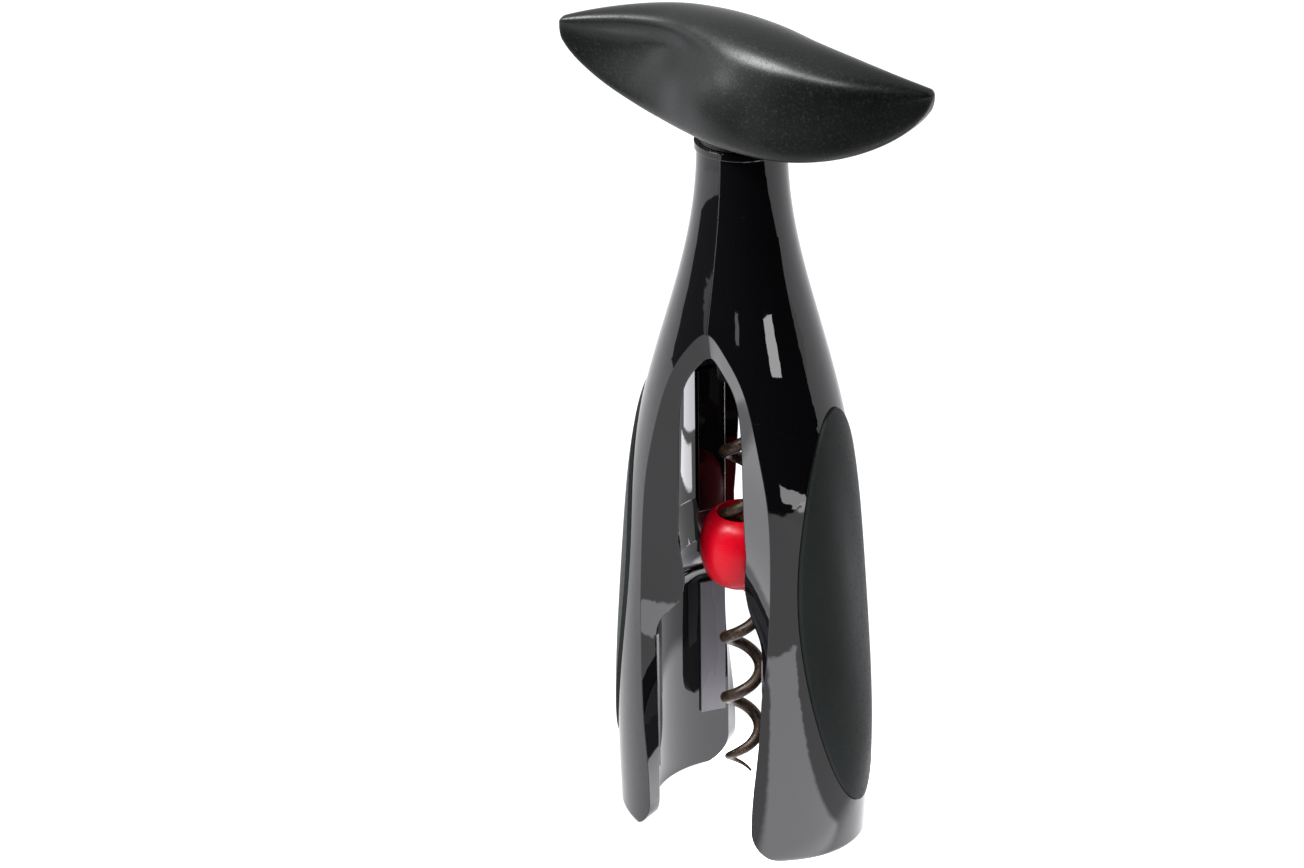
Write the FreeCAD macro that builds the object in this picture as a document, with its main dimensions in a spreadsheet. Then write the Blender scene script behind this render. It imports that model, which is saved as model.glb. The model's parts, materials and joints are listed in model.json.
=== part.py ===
import FreeCAD, Part
import math
import os

import Sketcher
from FreeCAD import Placement, Rotation, Vector

# Self-pulling tabletop corkscrew. Millimetres, +Z up.
# The origin is on the axis of the worm, on the table under the two feet.
# X runs along the handle and through the two side grips, Y through the two windows.

doc = FreeCAD.newDocument("tabletop_corkscrew")
sheet = doc.addObject("Spreadsheet::Sheet", "Sizes")

SIZES = [
    # Housing: an oval bell that stands on two feet and narrows to a round neck
    ("section_rise", 16.0, "height from one oval section of the bell to the next"),
    ("foot_half_x", 25.7, "half width of the bell at the table, across the grips"),
    ("foot_half_y", 19.9, "half depth of the bell at the table"),
    ("belly_half_x", 26.1, "largest half width"),
    ("belly_half_y", 19.9, "half depth at the belly"),
    ("hip_half_x", 25.3, "half width above the belly"),
    ("hip_half_y", 19.3, "half depth above the belly"),
    ("waist_half_x", 24.15, "half width at the ball"),
    ("waist_half_y", 18.5, "half depth at the ball"),
    ("chest_half_x", 22.5, "half width above the ball"),
    ("chest_half_y", 18.1, "half depth above the ball"),
    ("shoulder_half_x", 19.3, "half width of the shoulder"),
    ("shoulder_half_y", 17.0, "half depth of the shoulder"),
    ("slope_half_x", 14.7, "half width of the slope to the neck"),
    ("slope_half_y", 14.1, "half depth of the slope to the neck"),
    ("throat_radius", 10.5, "round throat under the neck"),
    ("neck_radius", 8.55, "neck at its top"),
    ("neck_top", 142.3, "height of the neck"),
    ("foot_edge_radius", 1.2, "rounding of the outer edge of the feet"),
    # Bores
    ("bottle_bore_radius", 18.0, "bore that goes over a bottle mouth"),
    ("bottle_bore_lead", 1.2, "chamfer at the mouth of that bore"),
    ("seat_bottom", 43.0, "where the seat for the bottle rim starts to close in"),
    ("seat_top", 53.0, "where the seat has closed in"),
    ("rim_radius", 13.0, "rim on which the bottle seats"),
    ("rim_top", 55.5, "upper edge of that rim"),
    ("ball_bore_radius", 14.4, "bore above the rim"),
    ("bore_opened", 64.0, "where the bore above the rim has its full radius"),
    ("dome_start", 91.0, "where the upper bore starts to close"),
    ("dome_top", 113.0, "where it has closed to the bore in the neck"),
    ("neck_bore_radius", 8.9, "bore in the neck, wide enough for the ball"),
    ("neck_bore_top", 121.4, "top of that bore"),
    ("stem_way_radius", 6.3, "passage for the hub stem above it"),
    # Windows, one in front and one behind, bevelled all the way round
    ("foot_gap_half", 11.45, "half gap between the feet"),
    ("foot_corner_radius", 7.0, "rounding of each foot beside the gap"),
    ("window_low_half", 12.65, "half gap at a third of the bottle bore"),
    ("window_seat_half", 13.7, "half gap below the seat"),
    ("window_half", 14.15, "half gap at the ball, the widest"),
    ("window_chest_half", 13.5, "half gap above the ball"),
    ("window_shoulder_half", 11.3, "half gap where the arch begins"),
    ("window_arch_half", 8.1, "half gap in the arch"),
    ("window_crown_half", 4.0, "half gap near the top of the arch"),
    ("window_top", 109.3, "top of the arch on the outer face"),
    ("bevel_slope", 3.3, "how far the bevel goes in sideways for each mm of depth"),
    ("bevel_rim_slope", 2.1, "the same at the rim of the seat"),
    ("bevel_low_slope", 0.75, "the same below the seat"),
    ("bevel_crown_slope", 4.4, "the same at the top of the arch"),
    ("bevel_rear_share", 0.7, "share of the bevel above the seat at the rear window"),
    # Side grips, oval soft pads let into the sides
    ("grip_centre_z", 51.4, "height of the middle of a grip"),
    ("grip_half_z", 41.3, "half length of a grip"),
    ("grip_half_y", 12.1, "half width of a grip"),
    ("grip_depth", 1.6, "how deep a grip is let in"),
    ("grip_proud", 0.5, "how far a grip stands out"),
    ("grip_gap", 0.12, "gap round a grip"),
    # Bars and panels on the inner walls
    ("bar_angle", 35.0, "angle of the middle of a bar from the side"),
    ("bar_width", 5.8, "width of a bar"),
    ("bar_proud", 0.8, "how far the face of a bar stands in from the bore"),
    ("bar_seat_depth", 0.6, "how far the back of a bar is let into the wall"),
    ("bar_bottom", 61.0, "lower end of a bar"),
    ("bar_top", 91.5, "upper end of a bar"),
    ("panel_angle", 41.0, "angle of the middle of a panel from the side"),
    ("panel_width", 5.2, "width of a panel"),
    ("panel_proud", 0.7, "how far the face of a panel stands in from the bore"),
    ("panel_seat_depth", 0.6, "how far the back of a panel is let into the wall"),
    ("panel_bottom", 13.4, "lower end of a panel"),
    ("panel_top", 43.0, "upper end of a panel"),
    # Neck fittings
    ("bush_bore_depth", 19.0, "depth of the bush in the neck"),
    ("bush_radius", 7.0, "outside of the bush"),
    ("running_gap", 0.06, "radial clearance of the stem in its bearings"),
    ("ring_radius", 8.95, "outside of the ring on top of the neck"),
    ("ring_height", 1.3, "height of that ring"),
    ("ring_bore_radius", 6.7, "bore of that ring, with room for the snap ring"),
    ("collar_radius", 7.9, "outside of the lift collar"),
    ("collar_height", 1.4, "height of the lift collar"),
    ("face_gap", 0.08, "gap between faces that turn on each other"),
    ("snap_radius", 6.3, "outside of the snap ring"),
    ("snap_height", 0.7, "thickness of the snap ring"),
    ("snap_rise", 0.25, "height of the snap ring over the top of the neck"),
    ("snap_groove_depth", 0.5, "depth of its groove in the stem"),
    # Stem and handle
    ("stem_radius", 5.5, "stem that carries the handle and the worm"),
    ("stem_bottom", 96.0, "lower end of the stem"),
    ("spigot_radius", 4.5, "spigot of the stem inside the handle"),
    ("stem_in_handle", 8.4, "how far the spigot goes up into the handle"),
    ("hub_radius", 6.6, "hub of the handle core"),
    ("hub_height", 9.4, "height of the hub"),
    ("hub_flange_radius", 7.9, "flange under the hub"),
    ("hub_flange_height", 0.9, "height of the flange"),
    ("fit_gap", 0.02, "clearance of fixed fits"),
    ("pin_radius", 1.25, "cross pin through hub and stem"),
    ("pin_half_length", 6.2, "half length of the cross pin"),
    ("pin_rise", 3.0, "height of the pin over the bottom of the hub"),
    ("handle_half_length", 40.4, "half length of the handle"),
    ("handle_tip_half", 0.9, "half height of the blunt tips"),
    ("handle_tip_width", 1.2, "half width of the blunt tips"),
    ("handle_tip_rise", 14.1, "height of the tips over the bottom of the handle"),
    ("handle_height", 22.8, "height of the crown over the bottom of the handle"),
    ("tip_sway", 1.8, "how far the tips swing out of line"),
    ("roll_sway", 3.4, "how far the roll along the top swings out of line"),
    ("roll_half_width", 5.6, "half width of the roll"),
    ("roll_drop", 2.6, "height of the crown over the shoulders of the roll"),
    ("roll_depth", 5.6, "height of the crown over the widest part of the roll"),
    ("crease_sway", 4.9, "swing of the creases under the roll"),
    ("crease_half_width", 3.6, "half distance of the two creases"),
    ("crease_drop", 7.9, "height of the crown over the creases"),
    ("flank_sway", 6.1, "swing of the flanks"),
    ("flank_half_width", 8.9, "half width at mid height, where one flank is hollow"),
    ("keel_sway", 4.4, "swing of the lower edges"),
    ("keel_half_width", 12.9, "half distance of the lower edges"),
    ("keel_rise", 0.65, "rounding of the lower edges"),
    ("skin_lift", 0.2, "height of the underside of the skin over the bottom of the hub"),
    ("core_bar_half_length", 21.0, "half length of the bar inside the skin"),
    ("core_bar_width", 4.4, "thickness of that bar"),
    ("core_bar_lift", 4.0, "height of the bar over the bottom of the hub"),
    ("core_bar_height", 6.4, "height of the bar itself"),
    ("core_bar_angle", -14.0, "turn of the bar along the sweep of the handle"),
    # Worm
    ("wire_radius", 1.18, "wire of the worm"),
    ("worm_radius", 3.42, "centre line of the turns"),
    ("worm_pitch", 13.5, "rise of one turn"),
    ("worm_start_angle", 84.0, "direction of the point, from +X"),
    ("worm_point_z", 7.3, "height of the point"),
    ("worm_point_radius", 0.25, "wire at the point"),
    ("worm_nip", 0.18, "share by which the first turns draw in at the point"),
    ("worm_nip_quarters", 8.0, "quarter turns in which they reach the full width"),
    ("worm_taper_quarters", 3.0, "quarter turns in which the wire reaches its full size"),
    ("worm_quarter_turns", 24.0, "quarter turns of the helix"),
    ("worm_run_in", 5.8, "height in which the wire comes in to the axis"),
    ("shank_depth", 14.0, "how far the shank goes up into the stem"),
    ("shank_gap", 0.03, "clearance of the shank in the stem"),
    # Ball
    ("ball_radius", 8.4, "half width and half height of the ball"),
    ("ball_corner", 3.0, "centre of the tighter arcs, out from both axes"),
    ("ball_corner_radius", 4.86, "radius of the tighter arcs"),
    ("ball_centre_z", 59.4, "height of the ball on the worm"),
    ("ball_mouth_radius", 5.1, "round mouth in the top of the ball"),
    ("ball_mouth_depth", 6.4, "depth of the mouth"),
    ("tunnel_gap", 0.35, "clearance of the worm in the ball"),
]

for row, (alias, value, note) in enumerate(SIZES, start=1):
    sheet.set(f"A{row}", alias)
    sheet.set(f"B{row}", str(value))
    sheet.set(f"C{row}", note)
    sheet.setAlias(f"B{row}", alias)
doc.recompute()


def size(alias):
    """Value of one size in the sheet, in mm or degrees."""
    return float(sheet.get(alias))


def feature(label, shape, placement=None):
    """Document object with a computed shape."""
    made = doc.addObject("Part::Feature", label)
    made.Label = label
    made.Shape = shape
    made.Placement = placement or Placement()
    return made


def plane_of(body, role):
    """Origin plane or axis of a body by its role."""
    return next(f for f in body.Origin.OriginFeatures if f.Role == role)


def sheet_terms(expression):
    """Expression on the sheet's aliases, for setExpression."""
    words = []
    for word in expression.split():
        words.append(f"Sizes.{word}" if word[0].isalpha() else word)
    return " ".join(words)


def bind(sketch, index, expression):
    """Tie one constraint of a sketch to the sheet."""
    sketch.setExpression(f"Constraints[{index}]", sheet_terms(expression))


def value_of(expression):
    """Number that an expression on the sheet has now."""
    total = 0.0
    sign = 1.0
    for word in expression.split():
        if word in "+-":
            sign = 1.0 if word == "+" else -1.0
        else:
            number = size(word) if word[0].isalpha() else float(word)
            total += sign * number
    return total


def turned(label, corners):
    """Body of revolution; corners are pairs of expressions, radius and height."""
    body = doc.addObject("PartDesign::Body", label)
    body.Label = label
    sketch = body.newObject("Sketcher::SketchObject", f"{label}_profile")
    sketch.AttachmentSupport = [(plane_of(body, "XZ_Plane"), "")]
    sketch.MapMode = "FlatFace"
    points = [Vector(value_of(r), value_of(z), 0) for r, z in corners]
    count = len(points)
    for i in range(count):
        sketch.addGeometry(Part.LineSegment(points[i], points[(i + 1) % count]), False)
    for i in range(count):
        sketch.addConstraint(Sketcher.Constraint("Coincident", i, 2, (i + 1) % count, 1))
    for i, (radius, height) in enumerate(corners):
        if radius == "0":
            sketch.addConstraint(Sketcher.Constraint("PointOnObject", i, 1, -2))
        else:
            at = sketch.addConstraint(Sketcher.Constraint("DistanceX", -1, 1, i, 1, points[i].x))
            bind(sketch, at, radius)
        at = sketch.addConstraint(Sketcher.Constraint("DistanceY", -1, 1, i, 1, points[i].y))
        bind(sketch, at, height)
    turn = body.newObject("PartDesign::Revolution", f"{label}_turn")
    turn.Profile = sketch
    turn.ReferenceAxis = (sketch, ["V_Axis"])
    turn.Angle = 360.0
    doc.recompute()
    return body


def plate(label, angle, face, back, width, bottom, top):
    """Flat bar on an inner wall, padded upward and turned to its angle about Z."""
    body = doc.addObject("PartDesign::Body", label)
    body.Label = label
    sketch = body.newObject("Sketcher::SketchObject", f"{label}_outline")
    sketch.AttachmentSupport = [(plane_of(body, "XY_Plane"), "")]
    sketch.MapMode = "FlatFace"
    sketch.setExpression("AttachmentOffset.Base.z", sheet_terms(bottom))
    near, far, half = value_of(face), value_of(back), value_of(width) / 2
    ring = [Vector(near, -half), Vector(far, -half), Vector(far, half), Vector(near, half)]
    for i in range(4):
        sketch.addGeometry(Part.LineSegment(ring[i], ring[(i + 1) % 4]), False)
    for i in range(4):
        sketch.addConstraint(Sketcher.Constraint("Coincident", i, 2, (i + 1) % 4, 1))
    for i in (0, 2):
        sketch.addConstraint(Sketcher.Constraint("Horizontal", i))
    sketch.addConstraint(Sketcher.Constraint("Vertical", 1))
    sketch.addConstraint(Sketcher.Constraint("Symmetric", 0, 1, 2, 2, -1))
    at = sketch.addConstraint(Sketcher.Constraint("DistanceX", -1, 1, 0, 1, near))
    bind(sketch, at, face)
    at = sketch.addConstraint(Sketcher.Constraint("DistanceX", -1, 1, 0, 2, far))
    bind(sketch, at, back)
    at = sketch.addConstraint(Sketcher.Constraint("DistanceY", 1, 1, 1, 2, 2 * half))
    bind(sketch, at, width)
    pad = body.newObject("PartDesign::Pad", f"{label}_pad")
    pad.Profile = sketch
    pad.setExpression("Length", f"{sheet_terms(top)} - {sheet_terms(bottom)}")
    body.Placement = Placement(Vector(), Rotation(Vector(0, 0, 1), angle))
    doc.recompute()
    return body


# Oval bell of the housing

OVAL_POINTS = 16


def oval(half_x, half_y, z):
    """Closed oval of two half widths at one height, from the rear middle round."""
    turns = [2 * math.pi * (i / OVAL_POINTS + 0.25) for i in range(OVAL_POINTS)]
    outline = Part.BSplineCurve()
    outline.interpolate(Points=[Vector(half_x * math.cos(a), half_y * math.sin(a), z) for a in turns],
                        Parameters=[float(i) for i in range(OVAL_POINTS + 1)], PeriodicFlag=True)
    return Part.Wire([outline.toShape()])


BELL_NAMES = ["foot", "belly", "hip", "waist", "chest", "shoulder", "slope"]
BELL_STEPS = [0.0, 1.75, 2.75, 3.75, 4.75, 5.75, 6.75]


def bell_sections():
    """Height and two half widths of each section of the bell, from foot to neck."""
    rows = []
    for name, step in zip(BELL_NAMES, BELL_STEPS):
        rows.append((size("section_rise") * step, size(f"{name}_half_x"), size(f"{name}_half_y")))
    throat = size("throat_radius")
    neck = size("neck_radius")
    rows.append((size("section_rise") * 7.75, throat, throat))
    rows.append((size("neck_top"), neck, neck))
    return rows


def bell(grow):
    """Outer form of the housing, grown or shrunk all round by one distance."""
    wires = [oval(x + grow, y + grow, z) for z, x, y in bell_sections()]
    return Part.makeLoft(wires, True, False)


def bell_depth(x, z):
    """Depth of the outer face of the bell at one place across and up."""
    rows = bell_sections()
    for (z0, x0, y0), (z1, x1, y1) in zip(rows, rows[1:]):
        if z <= z1:
            part = (z - z0) / (z1 - z0)
            half_x = x0 + part * (x1 - x0)
            half_y = y0 + part * (y1 - y0)
            return half_y * math.sqrt(max(0.0, 1 - (x / half_x) ** 2))
    return rows[-1][2]


def bore_profile():
    """Half section of everything that is bored out of the bell, as one face."""
    bottle = size("bottle_bore_radius")
    lead = size("bottle_bore_lead")
    rim = size("rim_radius")
    rim_top, opened = size("rim_top"), size("bore_opened")
    ball = size("ball_bore_radius")
    low, high = size("seat_bottom"), size("seat_top")
    start, top = size("dome_start"), size("dome_top")
    throat, throat_top = size("neck_bore_radius"), size("neck_bore_top")
    way = size("stem_way_radius")
    bush = size("bush_radius")
    neck = size("neck_top")
    bush_bottom = neck - size("bush_bore_depth")

    def at(radius, z):
        return Vector(radius, 0, z)

    middle = (low + high) / 2
    step = (bottle - rim) / 2
    seat_radius = (step ** 2 + (middle - low) ** 2) / (2 * step)
    bend = math.asin((middle - low) / seat_radius) / 2
    sag, climb = seat_radius * (1 - math.cos(bend)), seat_radius * math.sin(bend)
    lower = Part.Arc(at(bottle, low), at(bottle - sag, low + climb), at(rim + step, middle))
    upper = Part.Arc(at(rim + step, middle), at(rim + sag, high - climb), at(rim, high))
    fall = ball - throat
    dome_radius = (fall ** 2 + (top - start) ** 2) / (2 * fall)
    bend = math.asin((top - start) / dome_radius) / 2
    sag, climb = dome_radius * (1 - math.cos(bend)), dome_radius * math.sin(bend)
    dome = Part.Arc(at(ball, start), at(ball - sag, start + climb), at(throat, top))
    corners = [at(throat, top), at(throat, throat_top), at(way, throat_top), at(way, bush_bottom),
               at(bush, bush_bottom), at(bush, neck + 1), at(0, neck + 1), at(0, -1),
               at(bottle + lead + 1, -1), at(bottle, lead), at(bottle, low)]
    edges = [Part.makeLine(a, b) for a, b in zip(corners, corners[1:])]
    edges += [lower.toShape(), upper.toShape(), dome.toShape()]
    edges.append(Part.makeLine(at(rim, high), at(rim, rim_top)))
    edges.append(Part.makeLine(at(rim, rim_top), at(ball, opened)))
    edges.append(Part.makeLine(at(ball, opened), at(ball, start)))
    return Part.Face(Part.Wire(Part.__sortEdges__(edges)))


# Window outline: half gap, height as a share of the window, bevel sideways and upward
def window_rows(bevel_share):
    """Stations up one side of a window, from the foot to the crown of the arch."""
    low, rim = size("bevel_low_slope"), bevel_share * size("bevel_rim_slope")
    side, crown = bevel_share * size("bevel_slope"), size("bevel_crown_slope")
    return [
        (size("foot_gap_half"), 0.0, 0.1 * low, 0.0),
        (size("window_low_half"), 0.166, 0.55 * low, 0.0),
        (size("window_seat_half"), 0.332, low, 0.0),
        (size("window_half"), 0.4985, rim, 0.0),
        (size("window_chest_half"), 0.655, side, 0.0),
        (size("window_shoulder_half"), 0.772, 0.75 * side, 0.3 * side),
        (size("window_arch_half"), 0.8895, 0.6 * side, 0.6 * side),
        (size("window_crown_half"), 0.963, 0.3 * side, 0.85 * crown),
        (0.0, 1.0, 0.0, crown),
    ]


def window_wire(depth, bevel_share):
    """Outline of the window in the plane at one depth in front of the axis."""
    corner = size("foot_corner_radius")
    span = size("window_top") - corner
    side = []
    for half, share, across, up in window_rows(bevel_share):
        z = corner + share * span
        out = depth - bell_depth(half, z)
        side.append((half + across * out, z + up * out))
    ring = [Vector(x, -depth, z) for x, z in side]
    ring += [Vector(-x, -depth, z) for x, z in reversed(side[:-1])]
    arch = Part.BSplineCurve()
    steps = [float(i) for i in range(len(ring))]
    arch.interpolate(Points=ring, Parameters=steps, InitialTangent=Vector(0, 0, 12),
                     FinalTangent=Vector(0, 0, -12))
    gap = side[0][0]
    diagonal = corner * (1 - math.sqrt(0.5))
    edges = [arch.toShape()]
    for way in (1, -1):
        upper = Vector(way * gap, -depth, corner)
        middle = Vector(way * (gap + diagonal), -depth, diagonal)
        lower = Vector(way * (gap + corner), -depth, 0)
        edges.append(Part.Arc(upper, middle, lower).toShape())
        edges.append(Part.makeLine(lower, lower - Vector(0, 0, 1)))
    foot = gap + corner
    edges.append(Part.makeLine(Vector(-foot, -depth, -1), Vector(foot, -depth, -1)))
    return Part.Wire(Part.__sortEdges__(edges))


def window_tool(bevel_share):
    """Bevelled cutter of a window that faces the front."""
    outer = window_wire(size("belly_half_y") + 1.0, bevel_share)
    inner = window_wire(size("rim_radius") - 2.5, bevel_share)
    return Part.makeLoft([outer, inner], True, True)


def grip_column(gap):
    """Oval column along +X with the outline of a side grip, widened by a gap."""
    half_z = size("grip_half_z") + gap
    half_y = size("grip_half_y") + gap
    outline = Part.Ellipse(Vector(0, 0, half_z), Vector(0, half_y, 0), Vector(0, 0, 0)).toShape()
    outline.translate(Vector(0, 0, size("grip_centre_z")))
    column = Part.Face(Part.Wire([outline])).extrude(Vector(2 * size("belly_half_x"), 0, 0))
    return column


def opposite(shape):
    """The same shape on the other side of the axis."""
    turned_shape = shape.copy()
    turned_shape.rotate(Vector(), Vector(0, 0, 1), 180)
    return turned_shape


def wall_box(face, depth, width, bottom, top, angle):
    """Box of a bar or panel on an inner wall."""
    back = face + depth
    box = Part.makeBox(back - face, width, top - bottom, Vector(face, -width / 2, bottom))
    box.rotate(Vector(), Vector(0, 0, 1), angle)
    return box


# Back of a flat plate: its edges end at the wall, and it goes a little deeper
def plate_back(radius, width, seat_depth):
    """Distance from the axis of the back of a plate that is let into a round wall."""
    return math.sqrt(radius ** 2 - (width / 2) ** 2) + seat_depth


BAR_FACE = "ball_bore_radius - bar_proud"
PANEL_FACE = "bottle_bore_radius - panel_proud"
bar_face, panel_face = value_of(BAR_FACE), value_of(PANEL_FACE)
bar_back = plate_back(size("ball_bore_radius"), size("bar_width"), size("bar_seat_depth"))
panel_back = plate_back(size("bottle_bore_radius"), size("panel_width"), size("panel_seat_depth"))
PLATE_SIDES = ("right_rear", "left_rear", "left_front", "right_front")


def plate_angle(side, angle):
    """Direction of a plate, from its angle to the side of the housing, front or rear."""
    start = 180 if side.startswith("left") else 0
    same_way = side in ("right_rear", "left_front")
    return start + angle if same_way else start - angle


def whole_housing():
    """Housing before it is parted into two halves."""
    body = bell(0.0)
    rim = [e for e in body.Edges if e.BoundBox.ZMax < 0.01 and e.BoundBox.XLength > 1]
    body = body.makeFillet(size("foot_edge_radius"), rim)
    bores = bore_profile().revolve(Vector(), Vector(0, 0, 1), 360)
    body = body.cut(bores)
    body = body.cut(window_tool(1.0)).cut(opposite(window_tool(size("bevel_rear_share"))))
    pocket = grip_column(size("grip_gap")).cut(bell(-size("grip_depth")))
    body = body.cut(pocket).cut(opposite(pocket))
    for side in PLATE_SIDES:
        body = body.cut(wall_box(bar_face, bar_back - bar_face, size("bar_width"),
                                 size("bar_bottom"), size("bar_top"),
                                 plate_angle(side, size("bar_angle"))))
        body = body.cut(wall_box(panel_face, panel_back - panel_face, size("panel_width"),
                                 size("panel_bottom"), size("panel_top"),
                                 plate_angle(side, size("panel_angle"))))
    return body


housing = whole_housing()
reach = 2 * size("belly_half_x")
room_height = 2 * size("neck_top")
right_room = Part.makeBox(reach, 2 * reach, room_height, Vector(0, -reach, -1))
left_room = Part.makeBox(reach, 2 * reach, room_height, Vector(-reach, -reach, -1))
feature("housing_half_right", housing.common(right_room))
feature("housing_half_left", housing.common(left_room))

grip = grip_column(0.0).common(bell(size("grip_proud"))).cut(bell(-size("grip_depth")))
feature("side_grip_right", grip)
feature("side_grip_left", grip, Placement(Vector(), Rotation(Vector(0, 0, 1), 180)))

sheet.set("D1", "derived")
for row, (alias, number) in enumerate([("bar_back", bar_back), ("panel_back", panel_back)], start=2):
    sheet.set(f"D{row}", str(number))
    sheet.setAlias(f"D{row}", alias)
doc.recompute()
for side in PLATE_SIDES:
    plate(f"wall_bar_{side}", plate_angle(side, size("bar_angle")), BAR_FACE, "bar_back",
          "bar_width", "bar_bottom", "bar_top")
    plate(f"wall_panel_{side}", plate_angle(side, size("panel_angle")), PANEL_FACE,
          "panel_back", "panel_width", "panel_bottom", "panel_top")

# Neck fittings and stem, all turned
STEM_BORE = "stem_radius + running_gap"
turned("neck_bush", [
    (STEM_BORE, "neck_top - bush_bore_depth"), ("bush_radius", "neck_top - bush_bore_depth"),
    ("bush_radius", "neck_top"), (STEM_BORE, "neck_top")])
RING_TOP = "neck_top + ring_height"
turned("neck_ring", [
    ("ring_bore_radius", "neck_top"), ("ring_radius", "neck_top"),
    ("ring_radius", RING_TOP), ("ring_bore_radius", RING_TOP)])
COLLAR_BOTTOM = RING_TOP + " + face_gap"
COLLAR_TOP = COLLAR_BOTTOM + " + collar_height"
turned("lift_collar", [
    (STEM_BORE, COLLAR_BOTTOM), ("collar_radius", COLLAR_BOTTOM),
    ("collar_radius", COLLAR_TOP), (STEM_BORE, COLLAR_TOP)])
HUB_BOTTOM = COLLAR_TOP + " + face_gap"
GROOVE_BOTTOM = "neck_top + snap_rise - fit_gap"
GROOVE_TOP = "neck_top + snap_rise + snap_height + fit_gap"
GROOVE = "stem_radius - snap_groove_depth"
SHANK_BORE = "wire_radius + shank_gap"
SHANK_TOP = "stem_bottom + shank_depth"
STEM_TOP = HUB_BOTTOM + " + stem_in_handle"
hub_stem_blank = turned("hub_stem_blank", [
    (SHANK_BORE, "stem_bottom"), ("stem_radius", "stem_bottom"), ("stem_radius", GROOVE_BOTTOM),
    (GROOVE, GROOVE_BOTTOM), (GROOVE, GROOVE_TOP), ("stem_radius", GROOVE_TOP),
    ("stem_radius", HUB_BOTTOM), ("spigot_radius", HUB_BOTTOM), ("spigot_radius", STEM_TOP),
    ("0", STEM_TOP), ("0", SHANK_TOP + " + fit_gap"),
    (SHANK_BORE, SHANK_TOP + " + fit_gap")])
turned("snap_ring", [
    (GROOVE + " + fit_gap", "neck_top + snap_rise"), ("snap_radius", "neck_top + snap_rise"),
    ("snap_radius", "neck_top + snap_rise + snap_height"),
    (GROOVE + " + fit_gap", "neck_top + snap_rise + snap_height")])

# Handle: sections across X, the same turned half a turn about the axis
hub_bottom = value_of(HUB_BOTTOM)
SOLE_SHARE = 0.7
SHOULDER_SHARE = 0.72
FLANK_SHARE = 0.43
SHARES = (0.992, 0.94, 0.82, 0.62, 0.4, 0.2)

# How fast each level of the handle draws in toward the tips
CROWN_POWER = 0.85
ROLL_POWER = 1.0
FLANK_POWER = 1.05
KEEL_POWER = 1.26
BELLY_POWER = 3.4


def handle_section(share):
    """Closed outline of the handle at a share of its half length."""
    swing = math.sin(math.pi * share)
    swell = max(0.0, math.cos(math.pi * share / 2))
    tip = size("handle_tip_width")
    tip_half = size("handle_tip_half")
    floor = hub_bottom + size("skin_lift")
    tip_z = floor + size("handle_tip_rise")
    belly = (1 - abs(share) ** BELLY_POWER) ** (2 / 3)
    bottom = tip_z - tip_half - (size("handle_tip_rise") - tip_half) * belly
    top = tip_z + tip_half
    top += (floor + size("handle_height") - top) * swell ** CROWN_POWER

    lean = size("tip_sway") * share

    def pair(sway, half, power):
        """Front and back of one level."""
        width = tip + (half - tip) * swell ** power
        middle_y = -sway * swing - lean
        return middle_y - width, middle_y + width

    shoulder = pair(size("roll_sway"), SHOULDER_SHARE * size("roll_half_width"), ROLL_POWER)
    roll = pair(size("roll_sway"), size("roll_half_width"), ROLL_POWER)
    crease = pair(size("crease_sway"), size("crease_half_width"), ROLL_POWER)
    flank = pair(size("flank_sway"), size("flank_half_width"), FLANK_POWER)
    keel = pair(size("keel_sway"), size("keel_half_width"), KEEL_POWER)
    tall = (top - bottom) / size("handle_height")
    rise = size("keel_rise") * tall
    middle = bottom + FLANK_SHARE * (top - bottom)
    crown_y = -size("roll_sway") * swing - lean
    floor_y = -size("keel_sway") * swing - lean
    sole = [floor_y + SOLE_SHARE * (y - floor_y) for y in keel]
    shoulder_z = top - size("roll_drop") * tall
    roll_z = top - size("roll_depth") * tall
    crease_z = top - size("crease_drop") * tall
    rear = [(shoulder[1], shoulder_z), (roll[1], roll_z), (crease[1], crease_z),
            (flank[1], middle), (keel[1], bottom + rise), (sole[1], bottom)]
    front = [(sole[0], bottom), (keel[0], bottom + rise), (flank[0], middle),
             (crease[0], crease_z), (roll[0], roll_z), (shoulder[0], shoulder_z)]
    ring = [(crown_y, top)] + rear + [(floor_y, bottom)] + front
    x = share * size("handle_half_length")
    outline = Part.BSplineCurve()
    outline.buildFromPolesMultsKnots(poles=[Vector(x, y, z) for y, z in ring],
                                     mults=[1] * (len(ring) + 1),
                                     knots=[float(i) for i in range(len(ring) + 1)],
                                     periodic=True, degree=3)
    return Part.Wire([outline.toShape()])


def fused(label, parts):
    """Fusion of objects of the document."""
    made = doc.addObject("Part::MultiFuse", label)
    made.Label = label
    made.Shapes = parts
    return made


def cut(label, base, tool):
    """One object of the document cut by another."""
    made = doc.addObject("Part::Cut", label)
    made.Label = label
    made.Base = base
    made.Tool = tool
    return made


stations = [-share for share in SHARES] + [0.0] + list(reversed(SHARES))
handle_form = feature("handle_form",
                      Part.makeLoft([handle_section(share) for share in stations], True, False))
HUB_TOP = HUB_BOTTOM + " + hub_height"
FLANGE_TOP = HUB_BOTTOM + " + hub_flange_height"
hub_blank = turned("hub_blank", [
    ("0", HUB_BOTTOM), ("hub_flange_radius", HUB_BOTTOM), ("hub_flange_radius", FLANGE_TOP),
    ("hub_radius", FLANGE_TOP), ("hub_radius", HUB_TOP), ("0", HUB_TOP)])
core_bar = doc.addObject("Part::Box", "core_bar")
core_bar.setExpression("Length", "Sizes.core_bar_half_length * 2")
core_bar.setExpression("Width", "Sizes.core_bar_width")
core_bar.setExpression("Height", "Sizes.core_bar_height")
bar_turn = Rotation(Vector(0, 0, 1), size("core_bar_angle"))
bar_corner = Vector(-size("core_bar_half_length"), -size("core_bar_width") / 2,
                    hub_bottom + size("core_bar_lift"))
core_bar.Placement = Placement(bar_turn.multVec(bar_corner), bar_turn)
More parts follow.
